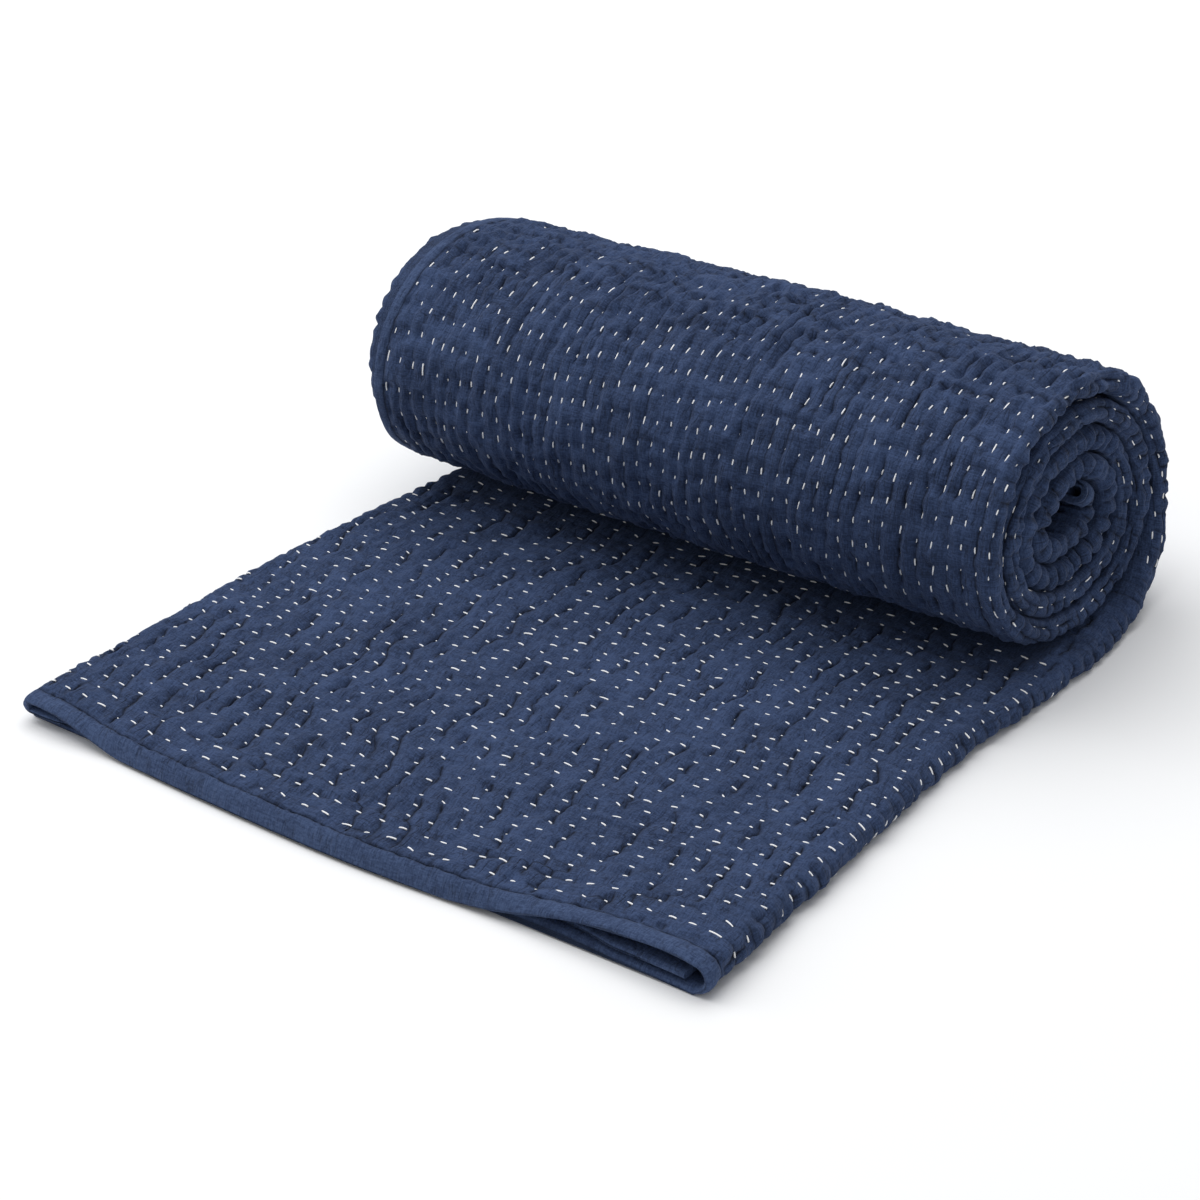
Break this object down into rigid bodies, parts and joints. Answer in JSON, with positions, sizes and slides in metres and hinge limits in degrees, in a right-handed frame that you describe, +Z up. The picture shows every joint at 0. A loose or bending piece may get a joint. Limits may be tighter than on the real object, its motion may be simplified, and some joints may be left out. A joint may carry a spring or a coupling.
{
  "type": "kantha quilt",
  "caption": "Padded cotton quilt with rows of running stitch, folded in three along its length and rolled up from one end, its other end lying flat in front of the roll.",
  "frame": {"origin": "centre of the bounding box's bottom, on the surface that the quilt lies on", "axes": "+Z up; +X along the roll, towards the closed fold of the strip; +Y from the flat front edge towards the roll"},
  "size_m": [0.4324, 0.4544, 0.1594],
  "materials": {
    "quilted_cotton": "matt navy cotton, puckered between rows of white running stitch",
    "binding_cotton": "plain matt navy cotton"
  },
  "bodies": {
    "root": {"quilt": "quilted_cotton", "binding_outer_side": "binding_cotton", "binding_inner_side": "binding_cotton", "binding_front_end": "binding_cotton", "binding_wound_end": "binding_cotton"}
  },
  "joints": []
}
